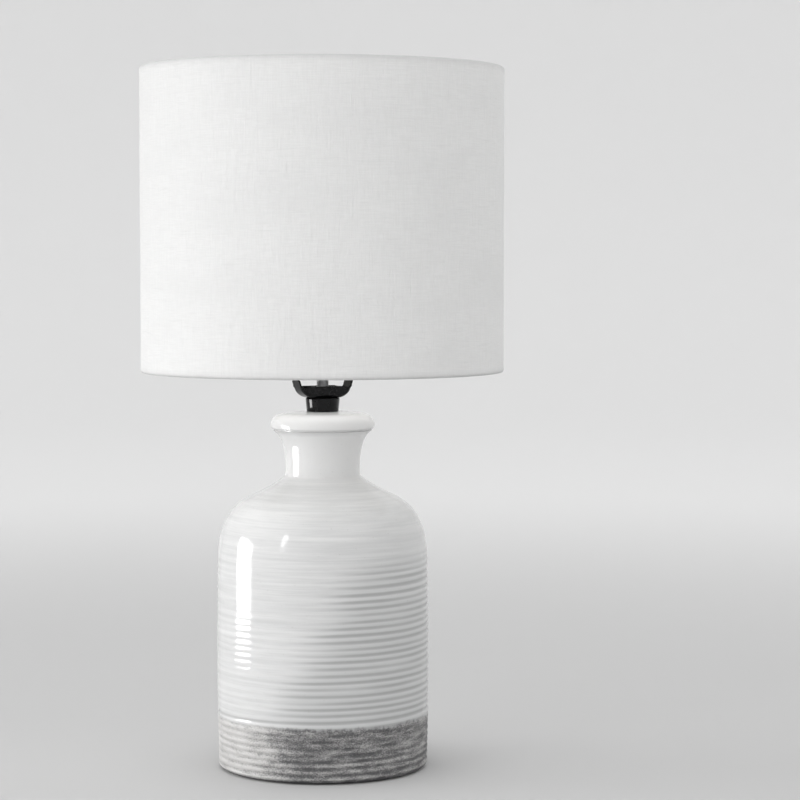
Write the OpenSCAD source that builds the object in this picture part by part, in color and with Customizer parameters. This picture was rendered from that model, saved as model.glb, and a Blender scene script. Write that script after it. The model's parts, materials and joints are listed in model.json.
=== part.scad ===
// Table lamp: a ribbed stoneware bottle base, a socket and harp, and a linen drum shade.
// Millimetres. Z points up, and the origin is the middle of the underside, on the table.
// The harp stands in the XZ plane, the switch knob points to -Y and the cord inlet to +Y.

/* [Shade] */
// Outer diameter of the drum shade
shade_d = 305; // [300:1:320]
// Height of the drum shade
shade_h = 255; // [250:1:260]
// Height of the shade's lower rim above the table
shade_z = 334.4; // [330:0.2:336]
// Thickness of the linen
linen_t = 0.8; // [0.6:0.1:0.9]
// Wire radius of the two shade rings
ring_wire_r = 1.45; // [1.2:0.05:1.45]
// How far the spider's hub hangs below the shade's upper rim
hub_drop = 24.3; // [22:0.1:26]

/* [Ceramic base] */
// Largest radius of the base
base_r = 89.5; // [86:0.5:92]
// Height at which the ribbed wall turns into the shoulder
shoulder_z = 178.7; // [175:0.1:182]
// Height of the crisp corner between shoulder and neck
neck_z = 247; // [244:0.5:250]
// Radius of the neck
neck_r = 31.8; // [30:0.1:34]
// Height of the base's flat top
top_z = 301; // [300:0.5:302]
// Largest radius of the lip round the top
lip_r = 43.7; // [42:0.1:46]
// Thickness of the ceramic wall
wall_t = 6; // [5:0.5:7]
// Distance from one throwing ring to the next
rib_pitch = 5.5; // [5:0.1:6.5]
// Depth of the groove between two throwing rings
rib_depth = 0.7; // [0.3:0.1:1]
// Depth of the recess under the floor
recess_h = 24; // [22:1:30]
// Thickness of the felt pad
pad_t = 2; // [1:0.5:3]

/* [Stem and socket] */
// Outer radius of the threaded lamp pipe
pipe_r = 5.15; // [5.1:0.05:5.2]
// Inner radius of the threaded lamp pipe
pipe_bore_r = 3.3; // [3:0.1:3.5]
// Height of the black neck collar
collar_h = 11.5; // [10.5:0.5:13]
// Outer radius of the socket's metal shell
shell_r = 16.8; // [16.4:0.1:17]
// Height of the switch axis above the table
switch_z = 358; // [357:0.5:359]
// Radius of the cord inlet's bore
inlet_bore_r = 3.6; // [3:0.1:4]

/* [Harp] */
// Distance between the axes of the harp's two feet
harp_feet = 50.8; // [50:0.2:52]
// Radius of the harp wire
harp_wire_r = 2.4; // [2:0.1:2.4]
// Widest distance between the axes of the harp's legs
harp_w = 97.6; // [94:0.2:100]

/* [Bulb] */
// Diameter of the bulb's globe
bulb_d = 60; // [56:1:62]
// Overall length of the bulb
bulb_l = 110; // [108:1:112]

/* [Hidden] */
$fn = 96;

fit = 0.05;              // radial clearance of a running fit
gap = 0.3;               // clearance between surfaces that move past each other
cut = 1;                 // how far a cutting tool runs past the surface it opens

// Ceramic base
foot_z = pad_t;
foot_r = base_r - 1.2;
floor_t = 6;
floor_z = foot_z + recess_h;
recess_r = base_r - 9.5;
rib_count = floor((shoulder_z + 10 - foot_z - 3) / rib_pitch);
inlet_z = foot_z + 12;

// Stem
clear_hole_r = pipe_r + 0.25;
nut_h = 4.4;
nut_flats = 14.3;        // across the flats of a 1/8-IP nut
collar_z = top_z;
saddle_z = collar_z + collar_h;
sheet_t = 1.5;           // sheet that the saddle is pressed from
saddle_w = 17;           // width of the saddle strip
saddle_bend_r = 14;      // outer radius of the bend from web to arm
saddle_bend_a = 80;      // angle that the bend turns through
saddle_rim_z = saddle_z + 10;
tongue_w = 6.8;
foot_base_z = saddle_z + 20.5;
tongue_top_z = foot_base_z + 9;
lock_washer_z = saddle_z + sheet_t;
locknut_z = lock_washer_z + 1;

// Socket
cap_z = 329;
shell_z = cap_z + 14;
insulator_z = cap_z + 21;
insulator_h = 16;
screw_shell_z = insulator_z + insulator_h;
screw_bore_r = 13.4;
shaft_r = 2.2;

// Bulb
bulb_z = screw_shell_z + 4;
bulb_cap_r = 12.9;
globe_r = bulb_d / 2;
globe_z = bulb_z + bulb_l - globe_r;

// Harp
feet_x = harp_feet / 2;
leg_x = harp_w / 2;
foot_h = 10;
foot_r_harp = 4.3;
leg_bend_a = 40;
leg_bend_r = (leg_x - feet_x) / (2 * (1 - cos(leg_bend_a)));
leg_start_z = foot_base_z + foot_h;
leg_straight = 26;
leg_bend_z = leg_start_z + leg_straight;
leg_upright_z = leg_bend_z + 2 * leg_bend_r * sin(leg_bend_a);
crown_r = 42;
hub_z = shade_z + shade_h - hub_drop - 3.6;
plate_t = 4.4;
swivel_flange_t = 2.3;
plate_top_z = hub_z - swivel_flange_t - gap;
crown_z = plate_top_z - plate_t / 2;
plate_r = 8.5;
swivel_neck_r = 3.2;
stud_r = 3.175;
stud_h = 14;

// Shade
shade_r = shade_d / 2;
shade_top_z = shade_z + shade_h;
hem_h = 3.2;
hem_lip_t = 0.6;
ring_r = shade_r - linen_t - ring_wire_r - 0.05;
hem_lip_r = ring_r - ring_wire_r - 0.05 - hem_lip_t;
ring_inset = 0.75 + ring_wire_r;
arm_wire_r = 1.6;
arm_end_r = ring_r - 0.9;
arm_end_z = shade_top_z - 5;
arm_z = hub_z + 1.8;
arm_rise = arm_end_z - arm_z;
arm_knee_r = arm_end_r - arm_rise;
hub_h = 3.6;
hub_r = 10;
finial_z = hub_z + hub_h + 0.2;

// Point t of the way along a cubic Bezier curve
function bezier(a, b, c, d, t) =
    pow(1 - t, 3) * a + 3 * pow(1 - t, 2) * t * b + 3 * (1 - t) * t * t * c + t * t * t * d;

function curve(a, b, c, d, steps) = [for (i = [0:steps]) bezier(a, b, c, d, i / steps)];

// Radius of the ribbed wall's crests at height z, slightly barrelled
function wall_r(z) = foot_r + 1.2 * sin(180 * min(z, 200) / 200);

// The grooves are deepest low down and fade out towards the shoulder
function groove_depth(z) = rib_depth * (z < 150 ? 1 : max(0, (shoulder_z + 8 - z) / (shoulder_z - 142)));

module tube(r, bore, h) {
    difference() {
        cylinder(r = r, h = h);
        translate([0, 0, -cut]) cylinder(r = bore, h = h + 2 * cut);
    }
}

module hex_nut(flats, bore, h) {
    difference() {
        cylinder(r = flats / 2 / cos(30), h = h, $fn = 6);
        translate([0, 0, -cut]) cylinder(r = bore, h = h + 2 * cut);
    }
}

module wire_ring(r, wire) {
    rotate_extrude() translate([r, 0]) circle(r = wire, $fn = 32);
}

// Rod between two points of the XZ plane
module rod(from, to, r) {
    run = to - from;
    translate([from[0], 0, from[1]])
        rotate([0, atan2(run[0], run[1]), 0])
            cylinder(r = r, h = norm(run), $fn = 32);
}

// Arc of wire in the XZ plane, about a centre, from one angle through a sweep
module wire_arc(centre, r, from, sweep, wire) {
    translate([centre[0], 0, centre[1]])
        rotate([90, 0, 0])
            rotate([0, 0, from])
                rotate_extrude(angle = sweep) translate([r, 0]) circle(r = wire, $fn = 32);
}

// ---- Ceramic base ----

function ribbed_wall() = [
    for (i = [0:rib_count - 1]) let (z = foot_z + 3 + i * rib_pitch)
        each [[wall_r(z), z], [wall_r(z), z + 0.62 * rib_pitch],
              [wall_r(z) - groove_depth(z), z + 0.81 * rib_pitch]]
];

function shoulder() = let (z0 = foot_z + 3 + rib_count * rib_pitch) concat(
    curve([wall_r(z0) - 0.6, z0], [foot_r - 1.2, z0 + 14], [79.5, neck_z - 27], [63.4, neck_z - 18], 8),
    curve([63.4, neck_z - 18], [55, neck_z - 14.4], [40, neck_z - 7.5], [neck_r + 0.2, neck_z], 6)
);

function neck_and_lip() = concat(
    curve([neck_r - 0.1, neck_z + 5], [neck_r - 0.1, top_z - 30], [34.5, top_z - 19],
          [lip_r - 0.5, top_z - 13.6], 8),
    curve([lip_r - 0.2, top_z - 12.6], [lip_r + 0.4, top_z - 5.5], [lip_r - 3.2, top_z - 1.6],
          [lip_r - 12.7, top_z - 0.9], 8),
    [[14.5, top_z], [0, top_z]]
);

module base_outer() {
    rotate_extrude()
        polygon(concat([[0, foot_z], [foot_r - 1.4, foot_z], [wall_r(5), foot_z + 2.2]],
                       ribbed_wall(), shoulder(), neck_and_lip()));
}

module base_cavity() {
    rotate_extrude()
        polygon(concat(
            [[0, floor_z + floor_t], [foot_r - wall_t, floor_z + floor_t]],
            curve([foot_r - wall_t, shoulder_z - 6], [foot_r - wall_t, neck_z - 36],
                  [60, neck_z - 22], [neck_r - wall_t, neck_z - 4], 8),
            [[neck_r - wall_t, top_z - 8], [0, top_z - 8]]));
}

module base_body() {
    color("whitesmoke")
    difference() {
        base_outer();
        base_cavity();
        translate([0, 0, foot_z - cut]) cylinder(r = recess_r, h = recess_h + cut);
        translate([0, 0, foot_z]) cylinder(r = clear_hole_r, h = top_z);
        translate([0, recess_r - 10, inlet_z]) rotate([-90, 0, 0]) cylinder(r = 5.2, h = 30);
    }
}

module base_pad() {
    color("dimgray") cylinder(r = base_r - 5.5, h = pad_t);
}

module inlet_grommet() {
    inner_y = recess_r - 2.1;
    outer_y = wall_r(inlet_z) + gap;
    flange_t = 1.6;
    color("black")
    translate([0, inner_y, inlet_z]) rotate([-90, 0, 0])
        difference() {
            union() {
                cylinder(r = 7, h = flange_t);
                cylinder(r = 5, h = outer_y - inner_y + 0.5);
                translate([0, 0, outer_y - inner_y]) cylinder(r = 7, h = flange_t);
            }
            translate([0, 0, -cut]) cylinder(r = inlet_bore_r, h = 30);
        }
}

module bottom_washer() {
    color("silver") translate([0, 0, floor_z - 1.6]) tube(16, clear_hole_r, 1.6);
}

module bottom_nut() {
    color("silver") translate([0, 0, floor_z - 1.6 - nut_h]) hex_nut(nut_flats, pipe_r + fit, nut_h);
}

module lamp_pipe() {
    color("lightgray")
    translate([0, 0, floor_z - 8.5]) tube(pipe_r, pipe_bore_r, cap_z + 2 - floor_z + 8.5);
}

// ---- Neck hardware ----

module neck_collar() {
    color("black")
    translate([0, 0, collar_z])
        difference() {
            cylinder(r1 = 13.4, r2 = 14.5, h = collar_h);
            translate([0, 0, -cut]) cylinder(r = clear_hole_r, h = collar_h + 2 * cut);
        }
}

// Side outline of the saddle's sheet, from the middle of the web to the top of one tongue
function saddle_outline(inset) =
    let (cx = 10.5, cz = saddle_z + saddle_bend_r, r = saddle_bend_r - inset,
         end_x = cx + r * sin(saddle_bend_a), end_z = cz - r * cos(saddle_bend_a),
         tongue_x = feet_x + sheet_t / 2 - inset)
    concat([[0, saddle_z + inset]],
           [for (a = [0:8:saddle_bend_a]) [cx + r * sin(a), cz - r * cos(a)]],
           [[tongue_x, foot_base_z - 2], [tongue_x, tongue_top_z]]);

function reversed(points) = [for (i = [len(points) - 1:-1:0]) points[i]];

// A side view in the XZ plane, made into a plate of width w about the plane
module side_plate(points, w) {
    translate([0, w / 2, 0]) rotate([90, 0, 0]) linear_extrude(w) polygon(points);
}

module saddle_half() {
    corner_r = 7;
    inner_x = feet_x - sheet_t;
    side_wall = concat([[0, saddle_z], [0, saddle_rim_z], [inner_x - corner_r, saddle_rim_z]],
                       [for (a = [10:20:90]) [inner_x - corner_r + corner_r * sin(a) - 1.2,
                                              saddle_rim_z + corner_r * (1 - cos(a))]],
                       reversed([for (p = saddle_outline(0)) if (p[1] < saddle_rim_z + corner_r) p]));
    difference() {
        union() {
            side_plate(concat(saddle_outline(0), reversed(saddle_outline(sheet_t))), saddle_w);
            difference() {
                side_plate(side_wall, saddle_w);
                side_plate([[-cut, saddle_z + 0.5], [40, saddle_z + 0.5], [40, 360], [-cut, 360]],
                           saddle_w - 2 * sheet_t);
            }
        }
        for (side = [-1, 1])
            translate([feet_x - 6, side * (tongue_w / 2 + 10) - 10, foot_base_z - 2])
                cube([12, 20, 20]);
    }
}

module harp_saddle() {
    color("black")
    difference() {
        union() {
            saddle_half();
            mirror([1, 0, 0]) saddle_half();
        }
        translate([0, 0, saddle_z - cut]) cylinder(r = clear_hole_r, h = 6);
    }
}

module lock_washer() {
    color("silver") translate([0, 0, lock_washer_z]) tube(6.8, clear_hole_r, 1);
}

module saddle_locknut() {
    color("silver") translate([0, 0, locknut_z]) hex_nut(12.7, pipe_r + fit, 3.2);
}

// ---- Socket ----

module socket_cap() {
    color("silver")
    translate([0, 0, cap_z])
        difference() {
            rotate_extrude()
                polygon([[pipe_r + fit, 0], [8.1, 0], [8.5, 0.4], [8.5, 5], [shell_r - 1.6, 9.4],
                         [shell_r + 0.7, 11.6], [shell_r + 0.9, 22], [shell_r + 0.3, 22],
                         [shell_r + 0.2, 12], [shell_r - 2, 10.2], [7, 5.4], [pipe_r + fit, 5.4]]);
            translate([0, 2, 2.6]) rotate([-90, 0, 0]) cylinder(r = 1.5, h = 10);
        }
}

module cap_set_screw() {
    color("silver")
    translate([0, pipe_r + 0.2, cap_z + 2.6]) rotate([-90, 0, 0]) {
        difference() {
            union() {
                cylinder(r = 1.45, h = 3.6);
                translate([0, 0, 3.6]) cylinder(r = 2.1, h = 1.6);
            }
            translate([-3, -0.3, 4.6]) cube([6, 0.6, 2]);
        }
    }
}

// Hole that the switch shaft comes out of, towards -Y
module switch_window(r) {
    translate([0, -8, switch_z]) rotate([90, 0, 0]) cylinder(r = r, h = 14);
}

module socket_shell() {
    color("silver")
    difference() {
        translate([0, 0, shell_z])
            rotate_extrude()
                polygon([[shell_r - 0.6, 0], [shell_r, 0], [shell_r, 30], [shell_r + 0.5, 31.5],
                         [shell_r, 33], [shell_r, 51], [shell_r - 0.9, 52], [shell_r - 1.3, 51.5],
                         [shell_r - 0.6, 50.6]]);
        switch_window(4.5);
    }
}

module shell_sleeve() {
    color("tan")
    difference() {
        translate([0, 0, insulator_z + 0.5]) tube(shell_r - 0.8, shell_r - 1.6, 41);
        switch_window(4.8);
    }
}

module socket_body() {
    flat_x = 12.6;
    color("saddlebrown")
    difference() {
        translate([0, 0, insulator_z]) cylinder(r = shell_r - 1.8, h = insulator_h);
        for (side = [-1, 1])
            translate([side * (flat_x + 5) - 5, -20, insulator_z - cut]) cube([10, 40, 11]);
        translate([0, -4, switch_z]) rotate([90, 0, 0]) cylinder(r = shaft_r + fit, h = 14);
        for (side = [-1, 1])
            translate([side * flat_x - 4, 0, insulator_z + 5]) rotate([0, 90, 0])
                cylinder(r = 1.55, h = 8);
    }
}

module screw_shell() {
    color("gold")
    translate([0, 0, screw_shell_z])
        difference() {
            cylinder(r = screw_bore_r + 0.4, h = 25);
            translate([0, 0, 0.5]) cylinder(r = screw_bore_r, h = 25);
            translate([0, 0, -cut]) cylinder(r = 7, h = 3);
        }
}

module center_contact() {
    color("gold")
    translate([0, 0, screw_shell_z]) {
        translate([-2.5, -5.5, 0]) cube([5, 9, 0.6]);
        translate([0, 3.5, 0]) rotate([0, -90, 0]) translate([0, 0, -2.5])
            linear_extrude(5)
                polygon([[0, 0], [3.3, -2.4], [3.3, -5.6], [2.8, -5.6], [2.8, -2.7], [0, -0.7]]);
    }
}

module terminal_screw(side) {
    translate([side * 9.2, 0, insulator_z + 5]) rotate([0, side * 90, 0])
        difference() {
            union() {
                cylinder(r = 1.5, h = 3.6);
                translate([0, 0, 3.6]) cylinder(r = 3.2, h = 1.5);
            }
            translate([-4, -0.35, 4.5]) cube([8, 0.7, 2]);
        }
}

module terminal_screw_brass() {
    color("gold") terminal_screw(1);
}

module terminal_screw_silver() {
    color("silver") terminal_screw(-1);
}

// ---- Switch ----

module switch_shaft() {
    color("gold")
    translate([0, -9, switch_z]) rotate([90, 0, 0]) cylinder(r = shaft_r, h = 17);
}

module switch_knob() {
    grip_count = 12;
    color("black")
    translate([0, -20, switch_z]) rotate([90, 0, 0])
        difference() {
            rotate_extrude()
                polygon([[0, 0], [4.3, 0], [4.8, 0.6], [4.8, 14], [4, 15], [0, 15]]);
            for (i = [0:grip_count - 1])
                rotate([0, 0, i * 360 / grip_count]) translate([5.1, 0, 3]) cylinder(r = 0.7, h = 20);
            translate([0, 0, -cut]) cylinder(r = shaft_r, h = 6 + cut);
        }
}

// ---- Bulb ----

// Outside of the glass, or its inside when inset by the wall
function glass_outline(inset) =
    let (r = globe_r - inset, neck = 12.2 - inset, start = -32)
    concat(
        [[neck, bulb_z + 20]],
        curve([neck, bulb_z + 29], [neck, bulb_z + 40], [r * cos(start) - 6, globe_z + r * sin(start) - 10],
              [r * cos(start), globe_z + r * sin(start)], 8),
        [for (a = [start + 6:7:87]) [r * cos(a), globe_z + r * sin(a)]],
        [[0, globe_z + r]]);

module bulb_globe() {
    glass_t = 0.8;
    color("white")
    rotate_extrude()
        polygon(concat(glass_outline(0), reversed(glass_outline(glass_t))));
}

module bulb_cap() {
    color("silver")
    translate([0, 0, bulb_z + 4])
        rotate_extrude()
            polygon([[8, 0], [11.6, 0], [bulb_cap_r, 2], [bulb_cap_r, 23], [bulb_cap_r - 0.4, 23],
                     [bulb_cap_r - 0.4, 2.2], [11.4, 0.4], [8, 0.4]]);
}

module bulb_insulator() {
    color("black")
    translate([0, 0, bulb_z + 1.2])
        rotate_extrude() polygon([[0, 0.3], [4.8, 0.3], [11, 2.8], [7.8, 2.8], [7.8, 4.2], [0, 4.2]]);
}

module bulb_contact() {
    color("silver") translate([0, 0, bulb_z]) cylinder(r1 = 3.6, r2 = 4.6, h = 1.5);
}

module bulb_stem() {
    color("white")
    translate([0, 0, bulb_z + 5.4])
        rotate_extrude() polygon([[0, 0], [6, 0], [6, 14], [3, 24], [2.4, 44], [3.2, 46], [0, 47]]);
}

module bulb_filament() {
    filament_z = bulb_z + 66;
    filament_r = 10;
    color("silver") {
        wire_arc([0, filament_z], filament_r, 180, 180, 0.5);
        for (side = [-1, 1])
            rod([side * 2.6, bulb_z + 51], [side * filament_r, filament_z], 0.45);
    }
}

// ---- Harp ----

// Centre line of one leg, from its foot to the start of the crown's flat, as points of the XZ plane
function arc_points(centre, r, from, sweep, steps) =
    [for (i = [0:steps]) let (a = from + sweep * i / steps) centre + r * [cos(a), sin(a)]];

function leg_path() = concat(
    [[feet_x, leg_start_z - 0.4]],
    arc_points([feet_x + leg_bend_r, leg_bend_z], leg_bend_r, 180, -leg_bend_a, 6),
    arc_points([leg_x - leg_bend_r, leg_upright_z], leg_bend_r, -leg_bend_a, leg_bend_a, 6),
    arc_points([leg_x - crown_r, crown_z - crown_r], crown_r, 0, 90, 12)
);

// Round wire swept along a path in the XZ plane
module swept_wire(path, r, sides) {
    last = len(path) - 1;
    rings = [
        for (i = [0:last])
            let (along = path[min(i + 1, last)] - path[max(i - 1, 0)],
                 across = [-along[1], along[0]] / norm(along))
            [for (k = [0:sides - 1]) let (a = 360 * k / sides)
                [path[i][0] + r * cos(a) * across[0], r * sin(a), path[i][1] + r * cos(a) * across[1]]]
    ];
    walls = [
        for (i = [0:last - 1], k = [0:sides - 1]) let (next = (k + 1) % sides)
            [i * sides + k, i * sides + next, (i + 1) * sides + next, (i + 1) * sides + k]
    ];
    ends = [[for (k = [sides - 1:-1:0]) k], [for (k = [0:sides - 1]) last * sides + k]];
    polyhedron([for (ring = rings) each ring], concat(walls, ends));
}

module harp_foot() {
    difference() {
        translate([feet_x, 0, foot_base_z]) cylinder(r = foot_r_harp, h = foot_h, $fn = 48);
        translate([feet_x - sheet_t / 2 - 0.2, -tongue_w / 2 - 0.2, foot_base_z - cut])
            cube([sheet_t + 0.4, tongue_w + 0.4, tongue_top_z - foot_base_z + 0.3 + cut]);
    }
}

module harp_wire() {
    color("black")
    difference() {
        union() {
            swept_wire(concat(leg_path(), [for (p = reversed(leg_path())) [-p[0], p[1]]]), harp_wire_r, 16);
            for (side = [0, 1]) mirror([side, 0, 0]) harp_foot();
            translate([0, 0, crown_z - plate_t / 2]) cylinder(r = plate_r, h = plate_t);
        }
        translate([0, 0, crown_z - plate_t]) cylinder(r = swivel_neck_r + fit, h = 2 * plate_t);
    }
}

module ferrule(side) {
    ferrule_h = 13;
    color("black")
    translate([side * feet_x, 0, foot_base_z - 0.7])
        tube(foot_r_harp + gap + 1, foot_r_harp + gap, ferrule_h);
}

module ferrule_left() {
    ferrule(-1);
}

module ferrule_right() {
    ferrule(1);
}

module harp_swivel() {
    color("gold") {
        translate([0, 0, plate_top_z - plate_t - gap - 3]) cylinder(r = 6, h = 3);
        translate([0, 0, plate_top_z - plate_t - 2]) cylinder(r = swivel_neck_r, h = plate_t + 3);
        translate([0, 0, hub_z - swivel_flange_t]) cylinder(r = 7.5, h = swivel_flange_t);
        translate([0, 0, hub_z - 0.5]) cylinder(r = stud_r, h = stud_h + 0.5);
    }
}

// ---- Shade ----

// One folded hem: the linen turned in over the ring and down inside it
module hem_profile() {
    translate([hem_lip_r, 0]) square([shade_r - hem_lip_r, 0.7]);
    translate([hem_lip_r, 0]) square([hem_lip_t, hem_h]);
}

module shade_fabric() {
    color("white")
    rotate_extrude($fn = 180) {
        translate([shade_r - linen_t, shade_z]) square([linen_t, shade_h]);
        translate([0, shade_z]) hem_profile();
        translate([0, shade_top_z]) mirror([0, 1]) hem_profile();
    }
}

module shade_liner() {
    liner_t = 0.4;
    color("ivory")
    translate([0, 0, shade_z + 4.2])
        tube(shade_r - linen_t - 0.1, shade_r - linen_t - 0.1 - liner_t, shade_h - 8.4, $fn = 180);
}

module top_ring() {
    color("white") translate([0, 0, shade_top_z - ring_inset]) wire_ring(ring_r, ring_wire_r);
}

module bottom_ring() {
    color("white") translate([0, 0, shade_z + ring_inset]) wire_ring(ring_r, ring_wire_r);
}

module spider_arm() {
    rod([hub_r - 0.2, arm_z], [arm_knee_r, arm_z], arm_wire_r);
    translate([arm_knee_r, 0, arm_z]) sphere(r = arm_wire_r, $fn = 32);
    rod([arm_knee_r, arm_z], [arm_end_r, arm_end_z], arm_wire_r);
    translate([arm_end_r, 0, arm_end_z]) sphere(r = arm_wire_r, $fn = 32);
}

module spider_arms() {
    color("white") for (a = [90, 210, 330]) rotate([0, 0, a]) spider_arm();
}

module spider_hub() {
    color("white") translate([0, 0, hub_z]) tube(hub_r, stud_r + 0.25, hub_h);
}

// ---- Finial ----

module finial_knob() {
    ball_r = 8;
    ball_z = 13;
    color("black")
    translate([0, 0, finial_z])
        difference() {
            rotate_extrude()
                polygon(concat([[0, 0], [8.4, 0], [8.8, 0.8], [8.4, 1.8], [6.2, 2.8], [5.8, 4.4]],
                               [for (a = [-42:12:78]) [ball_r * cos(a), ball_z + ball_r * sin(a)]],
                               [[0, ball_z + ball_r]]));
            translate([0, 0, -cut]) cylinder(r = 4.5, h = stud_h - 2 + cut);
        }
}

module finial_insert() {
    color("gold") translate([0, 0, finial_z]) tube(4.5, stud_r + 0.12, stud_h - 2);
}

base_body();
base_pad();
inlet_grommet();
bottom_washer();
bottom_nut();
lamp_pipe();
neck_collar();
harp_saddle();
lock_washer();
saddle_locknut();
socket_cap();
cap_set_screw();
socket_shell();
shell_sleeve();
socket_body();
screw_shell();
center_contact();
terminal_screw_brass();
terminal_screw_silver();
switch_shaft();
switch_knob();
bulb_globe();
bulb_cap();
bulb_insulator();
bulb_contact();
bulb_stem();
bulb_filament();
harp_wire();
ferrule_left();
ferrule_right();
harp_swivel();
shade_fabric();
shade_liner();
top_ring();
bottom_ring();
spider_arms();
spider_hub();
finial_knob();
finial_insert();
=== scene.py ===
"""Table lamp: looks of the ribbed stoneware base, its black fittings, the socket and harp, and the linen drum shade.

Shapes are worked out in millimetres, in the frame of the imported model, and become metres where a mesh is made.
Materials, lights and the camera are in metres.
"""

import json
from math import cos, degrees, exp, pi, radians, sin, sqrt, tan

import bmesh
import bpy
from mathutils import Matrix, Vector, noise


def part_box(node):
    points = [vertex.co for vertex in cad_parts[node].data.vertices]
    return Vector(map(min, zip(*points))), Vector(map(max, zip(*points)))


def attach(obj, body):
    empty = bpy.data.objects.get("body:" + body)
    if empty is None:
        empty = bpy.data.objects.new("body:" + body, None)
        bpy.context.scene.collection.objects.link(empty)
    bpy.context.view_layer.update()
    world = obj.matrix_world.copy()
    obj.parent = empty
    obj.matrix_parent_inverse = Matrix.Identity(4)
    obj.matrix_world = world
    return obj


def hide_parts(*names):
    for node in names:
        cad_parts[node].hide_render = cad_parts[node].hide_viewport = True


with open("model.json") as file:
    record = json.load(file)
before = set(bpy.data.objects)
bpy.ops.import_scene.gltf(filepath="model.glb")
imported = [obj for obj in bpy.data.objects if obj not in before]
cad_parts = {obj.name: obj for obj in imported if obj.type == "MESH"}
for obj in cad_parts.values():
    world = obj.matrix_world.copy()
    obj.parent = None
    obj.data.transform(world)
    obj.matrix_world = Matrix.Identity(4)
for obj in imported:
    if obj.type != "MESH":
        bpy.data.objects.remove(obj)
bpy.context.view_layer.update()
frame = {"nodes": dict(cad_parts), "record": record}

MM = 0.001
TAU = 2 * pi
# Angle round the lamp, from its front, of the side that the camera sees and the lights are set out from.
VIEW_FROM = radians(-25)


# ---- mesh tools


def put_in_scene(name, data):
    """New object for a mesh, a light or a camera."""
    obj = bpy.data.objects.new(name, data)
    bpy.context.scene.collection.objects.link(obj)
    return obj


def shade(obj, sharp_deg=38):
    """Shades smooth, with edges sharper than an angle left crisp."""
    obj.data.shade_smooth()
    obj.data.set_sharp_from_angle(angle=radians(sharp_deg))
    return obj


def finish_mesh(obj, sharp_deg=38):
    """Merges doubled points, turns the faces outward and shades smooth up to an angle."""
    work = bmesh.new()
    work.from_mesh(obj.data)
    bmesh.ops.remove_doubles(work, verts=work.verts, dist=1e-7)
    bmesh.ops.dissolve_degenerate(work, edges=work.edges, dist=1e-8)
    bmesh.ops.recalc_face_normals(work, faces=work.faces)
    work.to_mesh(obj.data)
    work.free()
    return shade(obj, sharp_deg)


def mesh_object(name, verts, faces, sharp_deg=38, **values):
    """Object from points in millimetres, with any numbers kept for each point that a material reads."""
    mesh = bpy.data.meshes.new(name)
    mesh.from_pydata([(x * MM, y * MM, z * MM) for x, y, z in verts], [], faces)
    for key, numbers in values.items():
        mesh.attributes.new(key, "FLOAT", "POINT").data.foreach_set("value", numbers)
    return finish_mesh(put_in_scene(name, mesh), sharp_deg)


def grid_faces(rows, columns, wrap_rows):
    """Quads of a grid of points whose columns close round, and whose rows close too if asked."""
    faces = []
    for i in range(rows if wrap_rows else rows - 1):
        below = i * columns
        above = ((i + 1) % rows) * columns
        for k in range(columns):
            after = (k + 1) % columns
            faces.append((below + k, below + after, above + after, above + k))
    return faces


def clamp(value):
    return max(0.0, min(1.0, value))


def smooth(value, low, high):
    """Smooth step from 0 to 1 of a value between two limits."""
    t = clamp((value - low) / (high - low))
    return t * t * (3 - 2 * t)


def polar(r, angle, z=0):
    """Point at a radius, an angle and a height."""
    return r * cos(angle), r * sin(angle), z


def lathe(name, outline, columns=96, shape=None, sharp_deg=38, axis=(0, 0, 1), start=(0, 0, 0)):
    """Turns a closed (r, z) outline about an axis, with an optional change of r and z by angle."""
    verts = []
    for r, z in outline:
        for k in range(columns):
            angle = TAU * k / columns
            rr, zz = shape(r, z, angle) if shape else (r, z)
            verts.append(polar(rr, angle, zz))
    obj = mesh_object(name, verts, grid_faces(len(outline), columns, True), sharp_deg)
    turn = Vector((0, 0, 1)).rotation_difference(Vector(axis)).to_matrix().to_4x4()
    obj.data.transform(Matrix.Translation(Vector(start) * MM) @ turn)
    return obj


def rounded(corners, steps=4):
    """Closed outline whose corners (x, y, radius) are rounded off."""
    points = []
    for i, (x, y, radius) in enumerate(corners):
        here = Vector((x, y))
        back = Vector(corners[i - 1][:2]) - here
        ahead = Vector(corners[(i + 1) % len(corners)][:2]) - here
        if radius == 0:
            points.append((x, y))
            continue
        reach = radius / tan(back.angle(ahead) / 2)
        reach = min(reach, 0.49 * back.length, 0.49 * ahead.length)
        a = here + reach * back.normalized()
        b = here + reach * ahead.normalized()
        for s in range(steps + 1):
            t = s / steps
            p = (1 - t) ** 2 * a + 2 * t * (1 - t) * here + t * t * b
            points.append((p.x, p.y))
    return points


def ring_outline(bore, r, low, high, bore_edge, edge, steps=4):
    """Outline of a flat ring with its edges rounded."""
    return rounded([(bore, low, bore_edge), (r, low, edge), (r, high, edge), (bore, high, bore_edge)], steps)


def bezier(a, b, c, d, steps):
    """Points of a cubic curve, without its last one."""
    points = []
    for s in range(steps):
        t = s / steps
        w = ((1 - t) ** 3, 3 * (1 - t) ** 2 * t, 3 * (1 - t) * t * t, t**3)
        points.append(tuple(sum(k * p[i] for k, p in zip(w, (a, b, c, d))) for i in (0, 1)))
    return points


def arc(centre, r, start, turn, steps):
    """Points of an arc, without its first one; angles in degrees."""
    points = []
    for i in range(1, steps + 1):
        a = radians(start + turn * i / steps)
        points.append((centre[0] + r * cos(a), centre[1] + r * sin(a)))
    return points


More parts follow.
